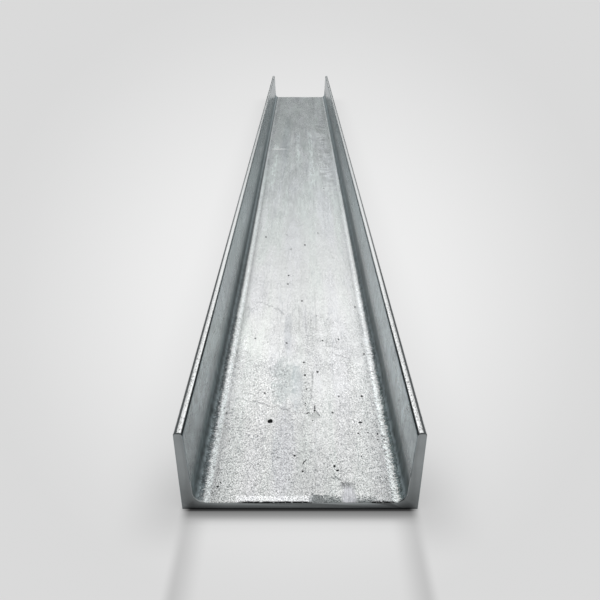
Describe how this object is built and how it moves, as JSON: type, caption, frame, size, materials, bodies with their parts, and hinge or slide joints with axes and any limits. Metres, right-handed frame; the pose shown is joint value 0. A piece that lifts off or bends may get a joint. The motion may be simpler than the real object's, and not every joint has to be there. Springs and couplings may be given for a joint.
{
  "type": "c channel",
  "caption": "Hot-rolled steel C channel with a flat web, tapered flanges, filleted roots and rounded toes, hot-dip galvanised and sawn square to length.",
  "frame": {"origin": "centre of the back of the web, midway along the length, on the surface that the channel lies on", "axes": "+X across the depth of the section from flange to flange, +Y along the length, +Z from the back of the web towards the toes of the flanges"},
  "size_m": [0.102, 1, 0.042],
  "materials": {
    "galvanised_steel": "hot-dip zinc, satin to matte, grey and mottled, rough on the web and smooth on the flanges"
  },
  "bodies": {
    "root": {"c_channel": "galvanised_steel"}
  },
  "joints": []
}
